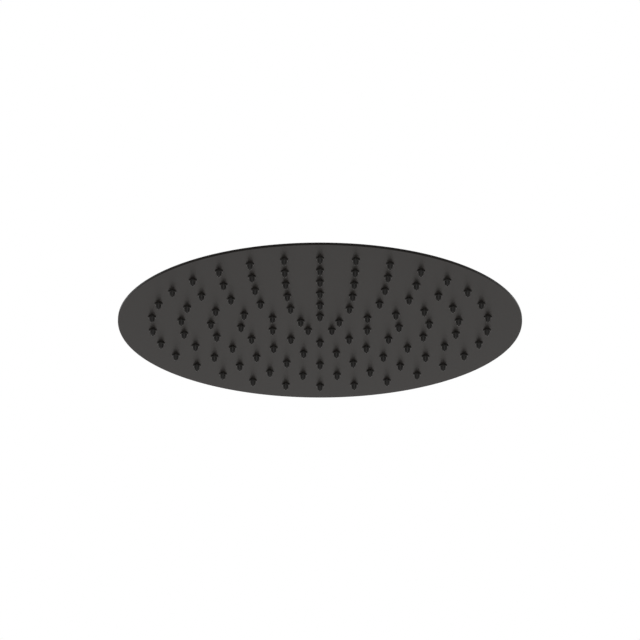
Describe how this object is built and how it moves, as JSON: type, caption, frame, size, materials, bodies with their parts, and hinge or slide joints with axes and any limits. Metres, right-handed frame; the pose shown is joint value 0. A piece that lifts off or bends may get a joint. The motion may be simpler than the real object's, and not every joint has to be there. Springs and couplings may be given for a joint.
{
  "type": "rain shower head",
  "caption": "Slim round rain shower head in satin black steel, with silicone nozzles in concentric rings and a swivelling ball joint behind.",
  "frame": {"origin": "on the inlet axis, where the inlet thread begins just inside the mouth", "axes": "+Z along the inlet axis, up and out of the mouth towards the supply pipe; the spray face looks down along -Z; every ring's first nozzle lies towards -Y"},
  "size_m": [0.3, 0.3, 0.0564],
  "materials": {
    "coated_steel": "satin",
    "coated_brass": "satin",
    "silicone": "matte",
    "seal_rubber": "matte",
    "acetal": "satin",
    "bare_steel": "satin"
  },
  "bodies": {
    "inlet": {"swivel_nipple": "coated_brass", "inlet_washer": "seal_rubber", "strainer": "bare_steel", "flow_limiter": "acetal"},
    "friction_ring": {"ball_liner": "acetal"},
    "ball_seat": {"ball_seal": "seal_rubber"},
    "head": {"face_plate": "coated_steel", "back_plate": "coated_steel", "inlet_boss": "coated_brass", "collar_nut": "coated_brass", "nozzles_ring_1": "silicone", "nozzles_ring_2": "silicone", "nozzles_ring_3": "silicone", "nozzles_ring_4": "silicone", "nozzles_ring_5": "silicone", "nozzles_ring_6": "silicone"}
  },
  "joints": [
    {"name": "tilt_x", "type": "hinge", "parent": "inlet", "child": "friction_ring", "pos_m": [0, 0, -0.03055], "axis": [1, 0, 0], "range_deg": [-10, 10]},
    {"name": "tilt_y", "type": "hinge", "parent": "friction_ring", "child": "ball_seat", "pos_m": [0, 0, -0.03055], "axis": [0, 1, 0], "range_deg": [-10, 10]},
    {"name": "turn", "type": "hinge", "parent": "ball_seat", "child": "head", "pos_m": [0, 0, -0.03055], "axis": [0, 0, 1], "continuous": true}
  ]
}
